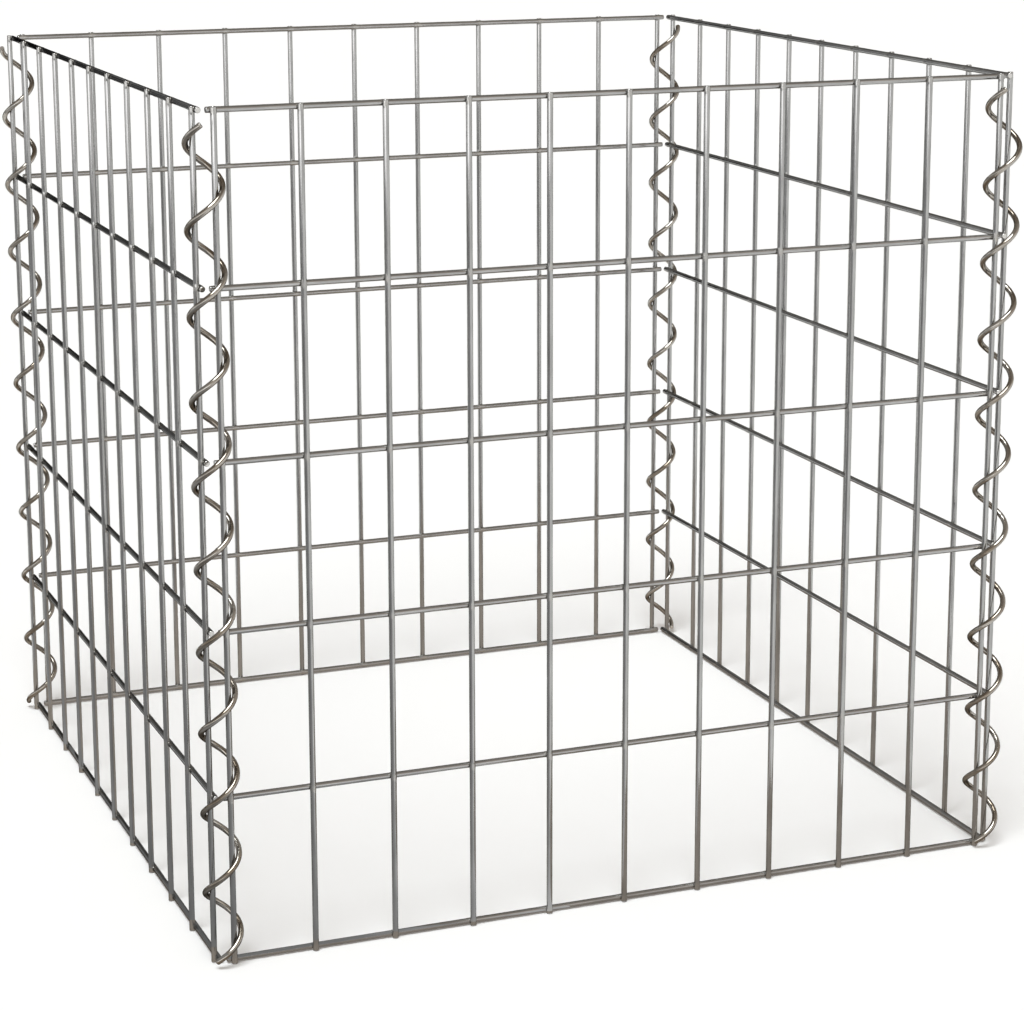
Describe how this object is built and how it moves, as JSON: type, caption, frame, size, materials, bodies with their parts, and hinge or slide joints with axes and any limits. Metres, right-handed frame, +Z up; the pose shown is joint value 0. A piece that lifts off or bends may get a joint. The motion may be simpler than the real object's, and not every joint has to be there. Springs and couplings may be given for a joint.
{
  "type": "wire mesh compost bin",
  "caption": "Square open compost bin of galvanised welded mesh panels laced at the corners by wire spirals, on which the panels fold flat.",
  "frame": {"origin": "on the ground, in the middle of the square that the panels stand round", "axes": "+X to the right along the front panel, +Y from the front panel to the rear panel, +Z up along the uprights"},
  "size_m": [0.5344, 0.5304, 0.5045],
  "materials": {
    "mesh_wire": "bright galvanised wire",
    "spiral_wire": "bright galvanised wire, drawn"
  },
  "bodies": {
    "rear_panel": {"rear_panel": "mesh_wire"},
    "left_panel": {"left_panel": "mesh_wire"},
    "right_panel": {"right_panel": "mesh_wire"},
    "front_panel": {"front_panel": "mesh_wire"},
    "front_left_spiral": {"front_left_spiral": "spiral_wire"},
    "front_right_spiral": {"front_right_spiral": "spiral_wire"},
    "rear_left_spiral": {"rear_left_spiral": "spiral_wire"},
    "rear_right_spiral": {"rear_right_spiral": "spiral_wire"}
  },
  "joints": [
    {"name": "left_panel_fold", "type": "hinge", "parent": "rear_panel", "child": "left_panel", "pos_m": [-0.2553, 0.2533, 0.25], "axis": [0, 0, 1], "range_deg": [-85, 85]},
    {"name": "right_panel_fold", "type": "hinge", "parent": "rear_panel", "child": "right_panel", "pos_m": [0.2553, 0.2533, 0.25], "axis": [0, 0, 1], "range_deg": [-85, 85]},
    {"name": "front_panel_fold", "type": "hinge", "parent": "left_panel", "child": "front_panel", "pos_m": [-0.2553, -0.2533, 0.25], "axis": [0, 0, 1], "range_deg": [-85, 85]},
    {"name": "front_left_spiral_turn", "type": "hinge", "parent": "front_panel", "child": "front_left_spiral", "pos_m": [-0.2553, -0.2533, 0.25], "axis": [0, 0, 1], "range_deg": [-5, 34]},
    {"name": "front_right_spiral_turn", "type": "hinge", "parent": "front_panel", "child": "front_right_spiral", "pos_m": [0.2553, -0.2533, 0.25], "axis": [0, 0, 1], "range_deg": [-5, 34]},
    {"name": "rear_left_spiral_turn", "type": "hinge", "parent": "left_panel", "child": "rear_left_spiral", "pos_m": [-0.2553, 0.2533, 0.25], "axis": [0, 0, 1], "range_deg": [-34, 5]},
    {"name": "rear_right_spiral_turn", "type": "hinge", "parent": "right_panel", "child": "rear_right_spiral", "pos_m": [0.2553, 0.2533, 0.25], "axis": [0, 0, 1], "range_deg": [-5, 34]}
  ],
  "couplings": [
    {"joint": "right_panel_fold", "follows": "left_panel_fold", "ratio": 1},
    {"joint": "front_panel_fold", "follows": "left_panel_fold", "ratio": -1}
  ]
}
